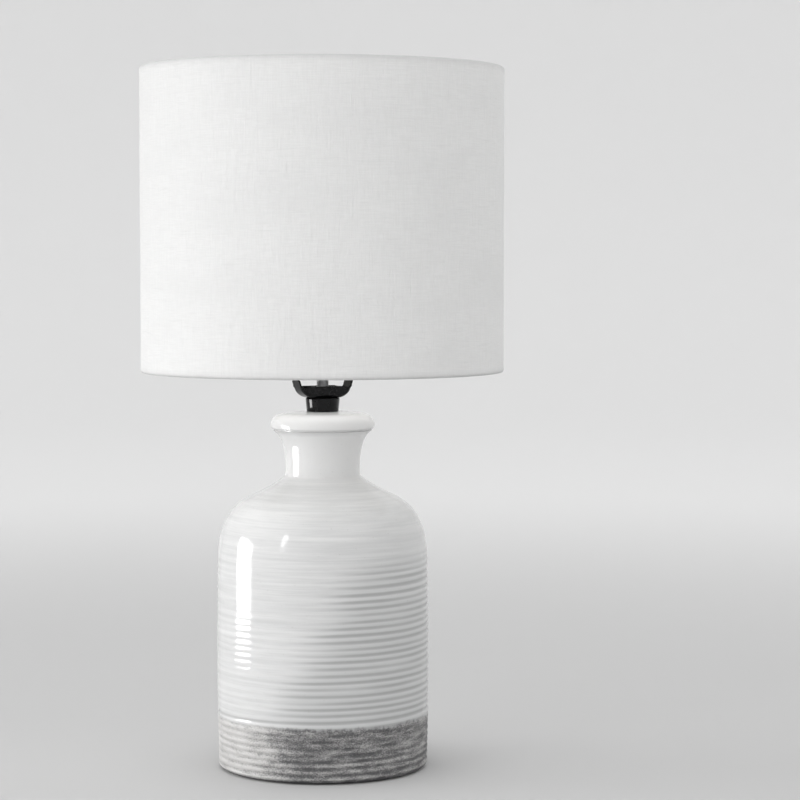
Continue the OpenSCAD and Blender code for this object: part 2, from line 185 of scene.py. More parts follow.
def sweep(name, path, section, sharp_deg=38, up=(0, 1, 0)):
    """Closed tube along a path: section(i) gives the outline there, as (across, up) offsets."""
    up = Vector(up)
    verts = []
    for i, point in enumerate(path):
        along = Vector(path[min(i + 1, len(path) - 1)]) - Vector(path[max(i - 1, 0)])
        across = along.cross(up).normalized()
        for a, b in section(i):
            verts.append(Vector(point) + a * across + b * up)
    columns = len(section(0))
    faces = grid_faces(len(path), columns, False)
    faces.append(tuple(range(columns))[::-1])
    faces.append(tuple((len(path) - 1) * columns + k for k in range(columns)))
    return mesh_object(name, verts, faces, sharp_deg)


def circle(r, sides=20):
    """Points round a circle."""
    return [polar(r, TAU * k / sides)[:2] for k in range(sides)]


def modify(obj, kind, **settings):
    """Adds a modifier and applies it at once."""
    modifier = obj.modifiers.new(kind, kind)
    for key, value in settings.items():
        setattr(modifier, key, value)
    bpy.context.view_layer.objects.active = obj
    bpy.ops.object.modifier_apply(modifier=modifier.name)


def combine(obj, other, operation="DIFFERENCE", sharp_deg=38):
    """Cuts a piece with another closed mesh, or joins them; the other one is used up."""
    modify(obj, "BOOLEAN", object=other, operation=operation, solver="MANIFOLD")
    bpy.data.objects.remove(other)
    return shade(obj, sharp_deg)


def rod(start, end, r, columns=32):
    """Plain round bar between two points, used for joining and cutting."""
    start, end = Vector(start), Vector(end)
    outline = [(0, 0), (r, 0), (r, (end - start).length), (0, (end - start).length)]
    return lathe("bar", outline, columns, axis=(end - start).normalized(), start=start)


def span(node, axis):
    """Lowest and highest reach of a CAD node along an axis."""
    low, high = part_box(node)
    return getattr(low, axis) / MM, getattr(high, axis) / MM


def middle(node, axis):
    """Middle of a CAD node along an axis."""
    return sum(span(node, axis)) / 2


def paint(obj, slot):
    obj.data.materials.clear()
    obj.data.materials.append(MATERIALS[slot])


def add(obj, body, slot, node):
    """Puts a finished piece on its body, with its slot's material and the CAD node it stands for."""
    paint(obj, slot)
    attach(obj, body)
    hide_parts(node)
    return obj


# ---- material tools


MATERIALS = {}


class Surface:
    """A Principled material, kept by its name, with short calls for its nodes."""

    def __init__(self, name, **values):
        material = MATERIALS[name] = bpy.data.materials.new(name)
        material.use_nodes = True
        self.tree = material.node_tree
        self.bsdf = self.tree.nodes["Principled BSDF"]
        for key, value in values.items():
            self.bsdf.inputs[key.replace("_", " ")].default_value = value

    def node(self, kind, inputs=None, **settings):
        made = self.tree.nodes.new("ShaderNode" + kind)
        for key, value in settings.items():
            setattr(made, key, value)
        for key, value in (inputs or {}).items():
            self.feed(made.inputs[key], value)
        return made

    def feed(self, socket, value):
        """Links another node's output to a socket, or sets a number or a colour on it."""
        if isinstance(value, bpy.types.NodeSocket):
            self.tree.links.new(value, socket)
        else:
            socket.default_value = (*value, 1) if socket.type == "RGBA" else value

    def place(self, scale=(1, 1, 1)):
        """Object coordinates in metres, stretched by a scale."""
        coords = self.node("TexCoord").outputs["Object"]
        return self.node("Mapping", {"Vector": coords, "Scale": scale}).outputs[0]

    def noise(self, scale, detail=3, rough=0.55, stretch=(1, 1, 1), distort=0):
        """Noise from 0 to 1, with scale in lumps per metre."""
        inputs = {"Vector": self.place(stretch), "Scale": scale, "Detail": detail, "Roughness": rough}
        inputs["Distortion"] = distort
        return self.node("TexNoise", inputs).outputs[0]

    def math(self, operation, *values):
        return self.node("Math", dict(enumerate(values)), operation=operation).outputs[0]

    def plus(self, a, b):
        return self.math("ADD", a, b)

    def times(self, a, b):
        return self.math("MULTIPLY", a, b)

    def sway(self, value, width):
        """A noise as an offset either way from 0, over a width."""
        return self.times(self.math("SUBTRACT", value, 0.5), width)

    def steps(self, value, low, high, out_low=0.0, out_high=1.0):
        """Smooth step of a value between two limits."""
        inputs = {"Value": value, "From Min": low, "From Max": high, "To Min": out_low, "To Max": out_high}
        return self.node("MapRange", inputs, interpolation_type="SMOOTHSTEP").outputs[0]

    def mix(self, factor, a, b):
        """Colour from a to b by a factor."""
        made = self.node("Mix", data_type="RGBA")
        for key, value in ((0, factor), (6, a), (7, b)):
            self.feed(made.inputs[key], value)
        return made.outputs[2]

    def attribute(self, name):
        return self.node("Attribute", attribute_name=name).outputs["Fac"]

    def xyz(self):
        """The three object coordinates in metres."""
        return self.node("SeparateXYZ", {"Vector": self.place()}).outputs

    def finish(self, colour, roughness, *layers):
        """Feeds the material its colour, its roughness and bump layers of (height, depth in metres)."""
        normal = None
        for value, depth in layers:
            inputs = {"Height": value, "Distance": depth, "Strength": 1.0}
            if normal:
                inputs["Normal"] = normal
            normal = self.node("Bump", inputs).outputs[0]
        for key, value in (("Base Color", colour), ("Roughness", roughness), ("Normal", normal)):
            if value is not None:
                self.feed(self.bsdf.inputs[key], value)


def glazed_stoneware():
    """White gloss glaze over the throwing rings, above a dry grey wash at the foot, with painted shade away from the
    lights and a painted sheen on the wash.
    """
    s = Surface("glazed_stoneware", IOR=1.5, Specular_IOR_Level=0.34)
    groove = s.attribute("groove")
    x, y, z = s.xyz()

    # The wash's upper edge waves, and is nicked.
    edge = s.noise(38, 4, 0.6, (1, 1, 1.6))
    nick = s.noise(260, 2, 0.5, (1, 1, 0.5))
    line = s.plus(s.plus(z, s.sway(edge, 0.006)), s.sway(nick, 0.006))
    band = s.steps(line, 0.0476, 0.0440)

    # The glaze is cloudy and brushed, with painted shade on the side away from the lights and towards the bottom,
    # grey in the rings partly from pooled glaze and partly as painted shade, and a painted shadow under the lip.
    cloud = s.noise(22, 3, 0.5, (1, 1, 1.5))
    glaze = s.mix(cloud, (0.855, 0.855, 0.853), (0.81, 0.81, 0.808))
    bare = s.attribute("bare")
    brushed = s.times(s.noise(34, 5, 0.7, (0.25, 0.25, 8)), s.steps(z, 0.262, 0.238))
    glaze = s.mix(s.steps(brushed, 0.28, 0.70, 0, 0.62), glaze, (0.62, 0.625, 0.625))
    # Painted shade: greyer on the side away from the lights and towards the bottom.
    painted_shade = s.times(s.steps(z, 0.225, 0.110, 0.25, 1.0), s.steps(bare, 0.1, 1.0, 0.12, 0.75))
    glaze = s.mix(painted_shade, glaze, (0.62, 0.625, 0.625))
    # Grooves greyer partly from glaze pooled in them and partly as painted shade, more towards the bottom.
    pooled_and_shaded = s.times(s.steps(groove, 0.08, 1.0), s.steps(z, 0.200, 0.160, 0.20, 0.80))
    glaze = s.mix(pooled_and_shaded, glaze, (0.42, 0.425, 0.425))
    # Painted shadow in the crease under the lip.
    painted_lip_shadow = s.times(s.steps(z, 0.2810, 0.2860), s.steps(z, 0.2885, 0.2870, 0, 0.30))
    glaze = s.mix(painted_lip_shadow, glaze, (0.46, 0.46, 0.46))
    speck = s.steps(s.noise(620, 1, 0.4), 0.735, 0.76, 0, 0.22)
    glaze = s.mix(speck, glaze, (0.45, 0.44, 0.42))

    # The wash is gritty and streaked, and painted paler round the side that faces the window, as a painted sheen.
    grain = s.noise(1000, 2, 0.7, (0.75, 0.75, 1.2))
    blotch = s.noise(90, 4, 0.72, (0.5, 0.5, 1.7))
    streak = s.noise(60, 4, 0.75, (1, 1, 6))
    window_side = s.math("SUBTRACT", s.times(y, 0.42), s.times(x, 0.91))
    wash = s.plus(s.plus(s.times(grain, 0.50), s.times(blotch, 0.55)), s.times(streak, 0.40))
    wash = s.plus(wash, s.sway(groove, s.steps(z, 0.034, 0.012, 0.05, 0.15)))
    # Painted sheen: the wash is lighter on the side that faces the window.
    wash = s.plus(wash, s.steps(window_side, 0.010, 0.084, 0.0, -0.24))
    wash = s.steps(wash, 0.44, 0.85)
    dry = s.mix(wash, (0.62, 0.61, 0.60), (0.105, 0.105, 0.108))
    roughness = s.plus(s.times(band, 0.42), 0.10)
    orange_peel = s.times(s.noise(160, 2, 0.5), s.math("SUBTRACT", 1.0, band))
    s.finish(s.mix(band, glaze, dry), roughness, (orange_peel, 0.00016), (s.times(grain, band), 0.0005))


def felt():
    s = Surface("felt", Sheen_Weight=0.5, Sheen_Roughness=0.6)
    tufts = s.noise(1400, 3, 0.8)
    colour = s.mix(tufts, (0.018, 0.018, 0.019), (0.075, 0.074, 0.075))
    s.finish(colour, 0.95, (tufts, 0.0006), (s.noise(260, 2, 0.6), 0.0004))


def mottled(name, lumps, colours, roughness, spread, depth, **values):
    """Material whose colour, roughness and bump all follow one noise."""
    s = Surface(name, **values)
    flow = s.noise(*lumps)
    s.finish(s.mix(flow, *colours), s.plus(s.times(flow, spread), roughness), (flow, depth))


def enamel(name, colour, roughness, specular=0.5):
    """Gloss paint on pressed steel, with a faint uneven flow."""
    colours = colour, tuple(min(1, c * 1.25 + 0.002) for c in colour)
    mottled(name, (140, 3, 0.5), colours, roughness, 0.08, 0.0001, IOR=1.45, Specular_IOR_Level=specular)


def moulded(name, colour, roughness, lighter=1.6):
    """Moulded plastic or glassy resin with fine flow marks."""
    colours = colour, tuple(min(1, c * lighter) for c in colour)
    mottled(name, (420, 3, 0.6, (1, 1, 0.5)), colours, roughness, 0.12, 0.00008, IOR=1.48)


def metal(name, colour, roughness, brush=(1, 1, 1), dull=0.12, grain=0.00003):
    """Bare or plated metal with brushed lines and a little tarnish."""
    s = Surface(name, Metallic=1.0)
    lines = s.noise(900, 2, 0.6, brush)
    tarnish = s.noise(90, 4, 0.6)
    darker = tuple(c * 0.72 for c in colour)
    worn = s.mix(s.steps(tarnish, 0.45, 0.8), colour, darker)
    s.finish(worn, s.plus(s.times(s.plus(lines, tarnish), dull), roughness), (lines, grain))


def linen():
    """White linen: warp and weft threads, thick slubs both ways, small upright crinkles, and painted shade on the
    turned hems.
    """
    s = Surface("linen", Sheen_Weight=0.15, Sheen_Roughness=0.5, Specular_IOR_Level=0.15)
    warp = s.noise(1500, 2, 0.6, (1, 1, 0.045))
    weft = s.noise(1500, 2, 0.6, (0.05, 0.05, 1))
    weft_slub = s.noise(420, 3, 0.6, (0.07, 0.07, 1), 0.4)
    warp_slub = s.noise(420, 3, 0.6, (1, 1, 0.06), 0.4)
    crinkle = s.noise(170, 3, 0.65, (1, 1, 0.22), 0.9)
    cloud = s.noise(13, 3, 0.5, (1, 1, 2.2))
    thread = s.times(s.plus(warp, weft), 0.5)
    colour = s.mix(s.steps(thread, 0.35, 0.65), (0.835, 0.835, 0.83), (0.885, 0.885, 0.88))
    colour = s.mix(s.steps(weft_slub, 0.58, 0.78, 0, 0.30), colour, (0.74, 0.74, 0.735))
    colour = s.mix(s.steps(warp_slub, 0.60, 0.78, 0, 0.24), colour, (0.74, 0.74, 0.735))
    colour = s.mix(s.steps(cloud, 0.4, 0.75, 0, 0.35), colour, (0.80, 0.80, 0.798))
    # Painted shade of the turned hems, darkest along the rolled edges.
    folded = s.attribute("folded")
    colour = s.mix(s.times(folded, 0.80), colour, (0.58, 0.58, 0.578))
    threads = (warp, 0.00014), (weft, 0.00014)
    s.finish(colour, 0.92, *threads, (weft_slub, 0.00035), (warp_slub, 0.00035), (crinkle, 0.0006))


GLASS_COLOURS = (0.93, 0.93, 0.91), (0.86, 0.86, 0.84)
CARD_COLOURS = (0.26, 0.17, 0.09), (0.45, 0.32, 0.19)
STYRENE_COLOURS = (0.86, 0.85, 0.82), (0.80, 0.79, 0.76)
glazed_stoneware()
felt()
moulded("black_plastic", (0.018, 0.018, 0.019), 0.32)
metal("zinc_steel", (0.62, 0.63, 0.65), 0.24, (1, 1, 0.1))
enamel("black_enamel", (0.004, 0.004, 0.0045), 0.06, 0.24)
metal("nickel", (0.74, 0.71, 0.66), 0.08, (0.15, 0.15, 1), 0.06)
mottled("insulating_card", (700, 4, 0.7, (1, 1, 3)), CARD_COLOURS, 0.9, 0, 0.0001)
moulded("phenolic", (0.055, 0.030, 0.017), 0.38, 2.0)
metal("brass", (0.80, 0.60, 0.29), 0.16, (0.2, 0.2, 1))
mottled("frosted_glass", (2600, 2, 0.6), GLASS_COLOURS, 0.32, 0.15, 0.00004, IOR=1.5, Transmission_Weight=0.35)
metal("bulb_aluminium", (0.78, 0.78, 0.79), 0.20, (0.2, 0.2, 1))
moulded("black_glass", (0.008, 0.008, 0.010), 0.12)
metal("solder", (0.56, 0.56, 0.58), 0.42, dull=0.2, grain=0.0002)
metal("filament_wire", (0.40, 0.39, 0.38), 0.35)
linen()
mottled("styrene", (300, 3, 0.6, (1, 1, 0.04)), STYRENE_COLOURS, 0.42, 0.15, 0.00006, IOR=1.5)
enamel("white_enamel", (0.74, 0.74, 0.72), 0.26)

# Every CAD node starts with its slot's material; the pieces below then replace what needs a finer shape.
for part in frame["record"]["subparts"]:
    paint(frame["nodes"][part["node"]], part["material_slot"])


# ---- ceramic base

FOOT_Z, TOP_Z = span("base_body", "z")
RING_PITCH = 5.5
RING_DEPTH = 0.55
RING_FAINT = 0.07
RING_FADE_LOW, RING_FADE_TOP = 164, 200
RING_END = 238
RING_FILLED = 0.22
BARE_AND_SHADED_SIDE = radians(-25)
BARE_AND_SHADED_LEVEL = 68
FILL_CLIMB = 0.0054
BAND_TOP = 46
SHOULDER_START = 178.7
SHOULDER_END = 228.9
CORNER_Z = 247
STEM_HOLE = 5.6
RECESS_R = 80
FLOOR_Z = 26
INLET_Z = middle("inlet_grommet", "z")
INLET_R = 5.2


def wall_radius(z):
    """Radius of the slightly barrelled wall."""
    return 88.3 + 1.2 * sin(pi * min(z, 200) / 200)


def outer_profile():
    """Outside of the bottle from the foot's edge to the hole in its top."""
    foot = [(85.9, FOOT_Z), (86.7, FOOT_Z + 0.15), (87.3, FOOT_Z + 0.6), (87.7, FOOT_Z + 1.3)]
    steps = round((SHOULDER_START - FOOT_Z - 2) / 0.5)
    wall = [(wall_radius(z), z) for z in (FOOT_Z + 2 + 0.5 * i for i in range(steps))]
    waist = (63.4, SHOULDER_END)
    corner = (32.0, CORNER_Z)
    shoulder = bezier(wall[-1], (88.0, 203), (79.8, 220), waist, 110)
    slope = bezier(waist, (55, 232.6), (40, 239.5), corner, 50)
    neck = bezier(corner, (31.5, 248.2), (31.6, 251), (31.6, 256), 8)
    flare = bezier((31.6, 256), (31.6, 270), (34.5, 280.5), (41.5, 285.1), 36)
    crease = [(41.6, 285.4), (41.0, 285.9), (41.0, 286.5), (41.6, 286.9)]
    lip = bezier((42.4, 286.8), (43.4, 286.9), (43.8, 287.6), (43.9, TOP_Z - 11.6), 8)
    dome = bezier((43.9, TOP_Z - 11.6), (44.2, TOP_Z - 5.4), (40.6, TOP_Z - 1.6), (31, TOP_Z - 0.9), 20)
    top = bezier((31, TOP_Z - 0.9), (25, TOP_Z - 0.4), (20, TOP_Z), (14.5, TOP_Z), 5)
    return foot + wall + shoulder + slope + neck + flare + crease + lip + dome + top + [(14.5, TOP_Z)]


def inner_profile():
    """Inside of the bottle, its floor and the recess under it."""
    cavity_low = FLOOR_Z + 6
    shoulder = bezier((82.3, 172), (82.3, 211), (60, 225), (25.8, 243), 12)[::-1]
    rim = [(STEM_HOLE + 0.3, TOP_Z), (STEM_HOLE, TOP_Z - 0.3), (STEM_HOLE, TOP_Z - 8), (25.8, TOP_Z - 8)]
    hollow = [(25.8, 243)] + shoulder + [(82.3, cavity_low), (STEM_HOLE, cavity_low)]
    recess = [(STEM_HOLE, FLOOR_Z), (RECESS_R, FLOOR_Z), (RECESS_R, FOOT_Z + 0.8), (RECESS_R + 0.8, FOOT_Z)]
    return rim + hollow + recess


def ring_depth(z):
    """How deep the throwing rings are at a height."""
    if z > RING_END:
        return 0.0
    return RING_FAINT + (RING_DEPTH - RING_FAINT) * smooth(z, RING_FADE_TOP, RING_FADE_LOW)


def bare_rings(angle, z):
    """From 1 on the side away from the lights, where the rings are sharp and the glaze gets painted shade, to near 0
    round the lit side, where the rings are filled.

    The filled side widens with height, and its limit wanders a little.
    """
    side = cos(angle - BARE_AND_SHADED_SIDE) - FILL_CLIMB * (z - BARE_AND_SHADED_LEVEL)
    side += 0.10 * noise.noise(Vector(polar(2, angle, z / 30)))
    return smooth(side, -0.64, 0.08)


def throwing_mark(along, z, angle):
    """Groove from 0 on a crest to 1 at the bottom, and its depth: one helix, uneven as a hand leaves it."""
    round_trip = Vector(polar(1, angle))
    wander = 0.25 * noise.noise(round_trip * 1.4 + Vector((7, 3, along / 14)))
    drift = 1.3 * noise.noise(Vector((0.5, 4.2, along / 17)))
    phase = (along + wander + drift) / RING_PITCH - angle / TAU
    groove = 0.5 - 0.5 * cos(TAU * phase)
    press = 1 + 0.50 * noise.noise(Vector((1.7, 8.8, along / 6.1)))
    press += 0.45 * noise.noise(round_trip * 1.7 + Vector((0, 5, along / 9)))
    bare = bare_rings(angle, z)
    if z < BAND_TOP + 10:
        bare = max(bare, min(1.0, (BAND_TOP + 10 - z) / 10))
    return groove, ring_depth(z) * max(0.3, press) * (RING_FILLED + (1 - RING_FILLED) * bare)


def stoneware():
    """The bottle with its rings pressed in square to the wall, and the hole for the cord drilled through."""
    columns, outside = 288, outer_profile()
    outline = outside + inner_profile()
    along = 0.0
    verts, grooves, bare = [], [], []
    for i, (r, z) in enumerate(outline):
        on_wall = 0 < i < len(outside) - 1 and z < RING_END
        if on_wall:
            before, after = Vector(outline[i - 1]), Vector(outline[i + 1])
            along += (Vector(outline[i]) - before).length
            slope = (after - before).normalized()
        for k in range(columns):
            angle = TAU * k / columns
            groove, depth = (0.0, 0.0)
            rr, zz = r, z
            if on_wall:
                groove, depth = throwing_mark(along, z, angle)
                sunk = groove * depth * min(1.0, (z - FOOT_Z) / 2)
                if z < BAND_TOP:
                    where = Vector(polar(r, angle, z))
                    sunk += 0.10 * noise.noise(where * 0.55) + 0.05 * noise.noise(where * 1.6)
                rr -= sunk * slope.y
                zz += sunk * slope.x
            verts.append(polar(rr, angle, zz))
            grooves.append(groove * min(1.0, depth / RING_DEPTH))
            # Side away from the lights, kept for each point for the glaze's painted shade.
            bare.append(bare_rings(angle, z) if z < SHOULDER_END else 0.0)
    obj = mesh_object("stoneware", verts, grid_faces(len(outline), columns, True), 50, groove=grooves, bare=bare)
    return combine(obj, rod((0, 60, INLET_Z), (0, 120, INLET_Z), INLET_R), sharp_deg=50)


add(stoneware(), "base", "glazed_stoneware", "base_body")

pad_z, pad_top = span("base_pad", "z")
pad_r = span("base_pad", "x")[1]


def uneven_edge(share, across, up):
    """Shape function of a lathe: a radius that wanders by a share of itself, with the noise's two scales."""

    def shape(r, z, angle):
        where = Vector(polar(1, angle, z * MM * up))
        return r * (1 + share * noise.noise(where * across)), z

    return shape


pad_outline = rounded([(0, pad_z, 0), (pad_r, pad_z, 0.6), (pad_r, pad_top, 0.3), (0, pad_top, 0)])
pad = lathe("felt_pad", pad_outline, columns=160, shape=uneven_edge(0.0012, 9, 1))
add(pad, "base", "felt", "base_pad")

GROMMET_BORE = 3.6
GROMMET_HUB = 5.0
GROMMET_FLANGE = 1.6
grommet_y, grommet_end = span("inlet_grommet", "y")
grommet_r = span("inlet_grommet", "x")[1]
grommet_l = grommet_end - grommet_y
grommet_outline = rounded([
    (GROMMET_BORE, 0, 0.5), (grommet_r, 0, 0.6), (grommet_r, GROMMET_FLANGE, 0.3),
    (GROMMET_HUB, GROMMET_FLANGE, 0), (GROMMET_HUB, grommet_l - GROMMET_FLANGE, 0),
    (grommet_r, grommet_l - GROMMET_FLANGE, 0.2), (grommet_r - 0.6, grommet_l, 0.8), (GROMMET_BORE, grommet_l, 1.0),
])
grommet = lathe("cord_grommet", grommet_outline, columns=64, axis=(0, 1, 0), start=(0, grommet_y, INLET_Z))
add(grommet, "base", "black_plastic", "inlet_grommet")


# ---- stem, collar and saddle

PIPE_R = 5.15
PIPE_BORE = 3.3
PIPE_PITCH = 25.4 / 27
PIPE_THREAD = 0.35


def thread(r_from, pitch, low, high, fade, change):
    """Shape function of a lathe: a screw thread beyond a radius, between two heights it fades in and out over.

    change(wave) is the move outward where wave goes from 0 in the thread's root to 1 on its crest.
    """

    def shape(r, z, angle):
        ease = clamp(min(z - low, high - z) / fade)
        if r < r_from or ease == 0:
            return r, z
        wave = 0.5 + 0.5 * cos(TAU * (z / pitch - angle / TAU))
        return r + ease * change(wave), z

    return shape


def machine_thread(r, pitch, depth, low, high):
    """Shape function of a lathe: a screw thread cut into a bar."""
    return thread(r - 0.01, pitch, low, high, pitch, lambda wave: -depth * (1 - wave**1.4))


def rows(r, low, high, step):
    """Points up a straight wall."""
    count = max(1, round((high - low) / step))
    return [(r, low + (high - low) * i / count) for i in range(count + 1)]


PIPE_LOW, PIPE_HIGH = span("lamp_pipe", "z")
THREAD_TOP_FROM = 306
pipe_outline = (
    [(PIPE_BORE, PIPE_LOW), (PIPE_R - 0.5, PIPE_LOW)]
    + rows(PIPE_R, PIPE_LOW + 0.6, PIPE_LOW + 16, PIPE_PITCH / 7)
    + rows(PIPE_R, THREAD_TOP_FROM, PIPE_HIGH - 0.6, PIPE_PITCH / 7)
    + [(PIPE_R - 0.5, PIPE_HIGH), (PIPE_BORE, PIPE_HIGH)]
)


def pipe_shape(r, z, angle):
    low, high = (PIPE_LOW + 0.5, PIPE_LOW + 14) if z < 100 else (THREAD_TOP_FROM + 2, PIPE_HIGH)
    return machine_thread(PIPE_R, PIPE_PITCH, PIPE_THREAD, low, high)(r, z, angle)


pipe = lathe("threaded_pipe", pipe_outline, columns=48, shape=pipe_shape, sharp_deg=60)
add(pipe, "base", "zinc_steel", "lamp_pipe")

COLLAR_FOOT_R = 13.4
collar_z, collar_top = span("neck_collar", "z")
collar_r = span("neck_collar", "x")[1]
collar_outline = rounded([
    (STEM_HOLE, collar_z, 0), (COLLAR_FOOT_R, collar_z, 0.5), (collar_r, collar_top, 1.1), (STEM_HOLE, collar_top, 0),
], 6)
add(lathe("neck_collar_spun", collar_outline, columns=128), "base", "black_enamel", "neck_collar")

SHEET_T = 1.5
SADDLE_W = 17
TONGUE_W = 6.8
SADDLE_BEND_X = 10.5
SADDLE_BEND_R = 14 - SHEET_T / 2
SADDLE_BEND_A = 80
SADDLE_FOLD_R = 2.2
SADDLE_RIM = 10
SADDLE_NARROWING = 1.6
SADDLE_HOLE = 5.4
SADDLE_Z, SADDLE_TOP = span("harp_saddle", "z")
SADDLE_X = span("harp_saddle", "x")[1] - SHEET_T / 2
HARP_Z, HARP_TOP = span("harp_wire", "z")


def saddle_stations():
    """Stations of one half of the pressed saddle: (x, z, tilt, half width, flange depth)."""
    mid = SADDLE_Z + SHEET_T / 2
    found = [(SADDLE_BEND_X * i / 9, mid, 0, SADDLE_W / 2, SADDLE_RIM - SHEET_T / 2) for i in range(9)]
    for i in range(33):
        a = radians(SADDLE_BEND_A * i / 32)
        x = SADDLE_BEND_X + SADDLE_BEND_R * sin(a)
        z = mid + SADDLE_BEND_R * (1 - cos(a))
        depth = SADDLE_BEND_R - (SADDLE_BEND_R - SADDLE_RIM + SHEET_T / 2) / cos(min(a, 1.3))
        taper = smooth(degrees(a), 46, SADDLE_BEND_A)
        half = SADDLE_W / 2 - SADDLE_NARROWING * taper
        found.append((x, z, a, half, max(0.0, depth) * (1 - taper)))
    end_x, end_z, end_a = found[-1][:3]
    shoulder_z = HARP_Z - 2.6
    for i in range(1, 13):
        t = i / 12
        half = SADDLE_W / 2 - SADDLE_NARROWING
        half += (TONGUE_W / 2 - half) * clamp((t - 0.42) / 0.5) ** 0.75
        z = end_z + (shoulder_z - end_z) * t
        found.append((end_x + (SADDLE_X - end_x) * min(1, t * 1.05), z, end_a + (pi / 2 - end_a) * t, half, 0.0))
    for i in range(1, 15):
        z = shoulder_z + (SADDLE_TOP - shoulder_z) * i / 14
        left = max(0.0, 1 - (SADDLE_TOP - z) / 2.2)
        found.append((SADDLE_X, z, pi / 2, TONGUE_W / 2 * sqrt(max(0.06, 1 - left * left)), 0.0))
    return found


def saddle_section(half, depth):
    """Across the pressed sheet: flange, fold, web, fold, flange, as (across, up)."""
    fold = min(SADDLE_FOLD_R, half * 0.5)
    points = [(-half, fold + (max(depth, fold) - fold) * (1 - i / 4)) for i in range(5)]
    for i in range(1, 6):
        a = pi / 2 * i / 6
        points.append((-half + fold * (1 - cos(a)), fold * (1 - sin(a))))
    points += [(-half + fold + (half - fold) * i / 6, 0) for i in range(6)]
    flat = min(1.0, depth / fold)
    points = [(x, z * flat) for x, z in points]
    return points + [(0, 0)] + [(-x, z) for x, z in points[::-1]]


def pressed_saddle():
    """The harp's saddle: a pressed strip bent up at both ends, with its hole for the pipe."""
    half = saddle_stations()
    stations = [(-x, z, -a, w, d) for x, z, a, w, d in half[:0:-1]] + half
    verts = []
    for x, z, a, w, d in stations:
        inward = (-sin(a), cos(a))
        for across, up in saddle_section(w, d):
            verts.append((x + inward[0] * up, across, z + inward[1] * up))
    columns = len(saddle_section(1, 1))
    faces = []
    for i in range(len(stations) - 1):
        for k in range(columns - 1):
            a, b = i * columns + k, (i + 1) * columns + k
            faces.append((a, a + 1, b + 1, b))
    obj = mesh_object("pressed_saddle", verts, faces, 180)
    modify(obj, "SOLIDIFY", thickness=SHEET_T * MM, offset=0, use_even_offset=True)
    combine(obj, rod((0, 0, SADDLE_Z - 2), (0, 0, SADDLE_Z + 4), SADDLE_HOLE, 48))
    modify(obj, "BEVEL", width=0.28 * MM, segments=3, limit_method="ANGLE", angle_limit=radians(50))
    return shade(obj, 50)


add(pressed_saddle(), "base", "black_enamel", "harp_saddle")


def hex_nut(name, node, flats, chamfer=0.5):
    """Hexagon nut on the pipe, with its corners turned off at both faces and a countersunk bore."""
    low_z, high_z = span(node, "z")
    corner = flats / 2 / cos(pi / 6)
    face = flats / 2 * 0.97
    bore = PIPE_R + 0.05
    outline = rounded([
        (bore, low_z + 0.5, 0), (bore + 0.5, low_z, 0), (face, low_z, 0.2), (corner, low_z + chamfer, 0.1),
        (corner, high_z - chamfer, 0.1), (face, high_z, 0.2), (bore + 0.5, high_z, 0), (bore, high_z - 0.5, 0),
    ], 3)

    def shape(r, z, angle):
        side = (angle + pi / 6) % (pi / 3) - pi / 6
        reach = flats / 2 / cos(pi / 6 - abs(side))
        return min(r, reach), z

    add(lathe(name, outline, shape=shape, sharp_deg=28), "base", "zinc_steel", node)


hex_nut("saddle_locknut_hex", "saddle_locknut", 12.7)
hex_nut("bottom_nut_hex", "bottom_nut", 14.3, 0.7)

washer_outline = ring_outline(STEM_HOLE, span("bottom_washer", "x")[1], *span("bottom_washer", "z"), 0.25, 0.5)
add(lathe("bottom_washer_stamped", washer_outline), "base", "zinc_steel", "bottom_washer")


def split_washer():
    """Spring lock washer: a square wire bent round with a cut, one end a little higher."""
    bore, r, z = STEM_HOLE - 0.15, span("lock_washer", "x")[1], middle("lock_washer", "z")
    half, half_t, coil = (r - bore) / 2 - 0.05, 0.38, (bore + r) / 2
    path = []
    for i in range(65):
        a = radians(6 + 348 * i / 64)
        path.append(polar(coil, a, z + 0.12 * (i / 32 - 1)))
    corners = (-half, -half_t), (half, -half_t), (half, half_t), (-half, half_t)
    section = rounded([(x, y, 0.1) for x, y in corners], 2)
    return sweep("split_lock_washer", path, lambda i: section, up=(0, 0, 1))


add(split_washer(), "base", "zinc_steel", "lock_washer")


# ---- socket and switch

CAP_Z = span("socket_cap", "z")[0]
SET_SCREW_Z = CAP_Z + 2.6
SET_SCREW_R = 1.5
cap_outline = rounded([
    (5.25, 0, 0), (8.5, 0, 0.5), (8.5, 5.0, 1.0), (15.2, 9.2, 2.5), (17.5, 12.4, 1.6), (17.55, 20.6, 0.4),
    (17.75, 21.2, 0.3), (17.7, 22, 0.3), (17.05, 22, 0.2), (16.95, 12.8, 1.2), (14.8, 10.2, 1.5), (7.2, 5.4, 0.6),
    (5.25, 5.4, 0),
], 5)
cap = lathe("socket_cap_spun", cap_outline, columns=128, start=(0, 0, CAP_Z))
combine(cap, rod((0, 4, SET_SCREW_Z), (0, 12, SET_SCREW_Z), SET_SCREW_R))
add(cap, "base", "nickel", "socket_cap")

SHELL_R = 16.8
SHELL_Z, SHELL_TOP = span("socket_shell", "z")
SHELL_T = 0.5
BEADS = ((SHELL_Z + 31.5, 0.55, 1.5), (SHELL_Z + 47, 0.3, 0.9))


def beaded(r, z):
    """Radius of the pressed shell at a height: its wall with the rolled beads."""
    for bead_z, rise, half in BEADS:
        if abs(z - bead_z) < half:
            r += rise * (0.5 + 0.5 * cos(pi * (z - bead_z) / half))
    return r


